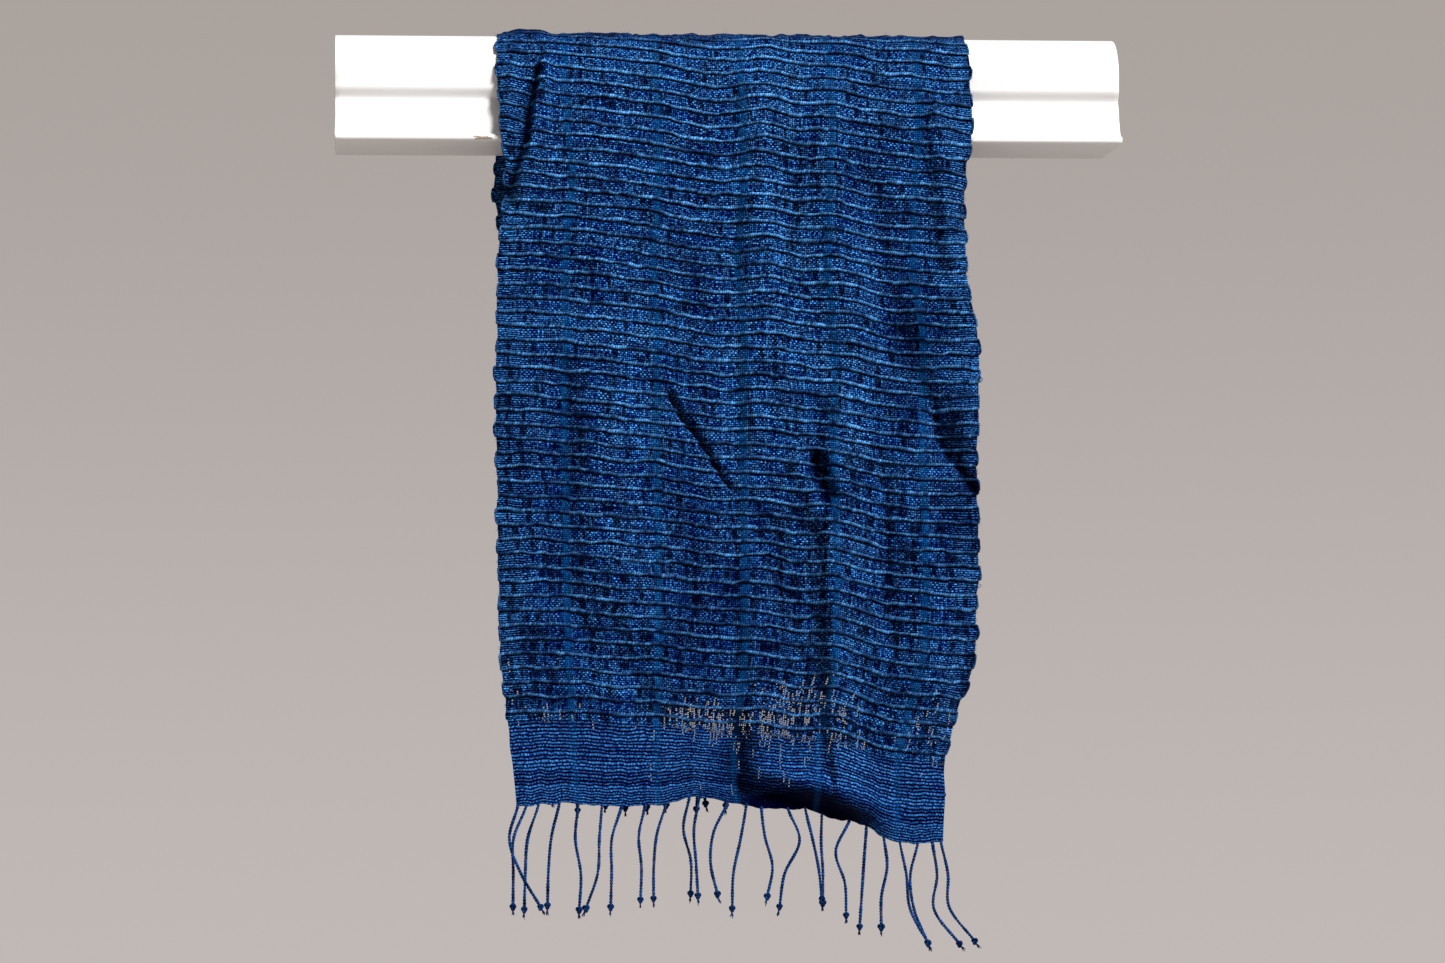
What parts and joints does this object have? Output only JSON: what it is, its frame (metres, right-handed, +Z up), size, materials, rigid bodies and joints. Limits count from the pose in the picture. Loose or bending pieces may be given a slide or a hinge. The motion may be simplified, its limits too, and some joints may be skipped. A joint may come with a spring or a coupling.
{
  "type": "silk scarf on a handrail",
  "caption": "Hand-woven indigo silk scarf with thick weft cords and knotted fringes, hung over a short stretch of white moulded handrail.",
  "frame": {"origin": "middle of the handrail's flat underside, where the rail is held", "axes": "+X along the rail, to the right seen from the longer drop; +Z up; the longer drop hangs on the -Y side"},
  "size_m": [0.56, 0.1052, 0.6572],
  "materials": {
    "rail_paint": "satin white paint over moulded wood",
    "scarf_silk": "open plain weave of indigo raw silk with thick slubby weft cords, low sheen",
    "fringe_silk": "two-ply twisted indigo silk, knotted, low sheen"
  },
  "bodies": {
    "root": {"rail": "rail_paint", "scarf_over_rail": "scarf_silk", "scarf_front": "scarf_silk", "scarf_back": "scarf_silk", "fringe_front": "fringe_silk", "fringe_back": "fringe_silk"}
  },
  "joints": []
}
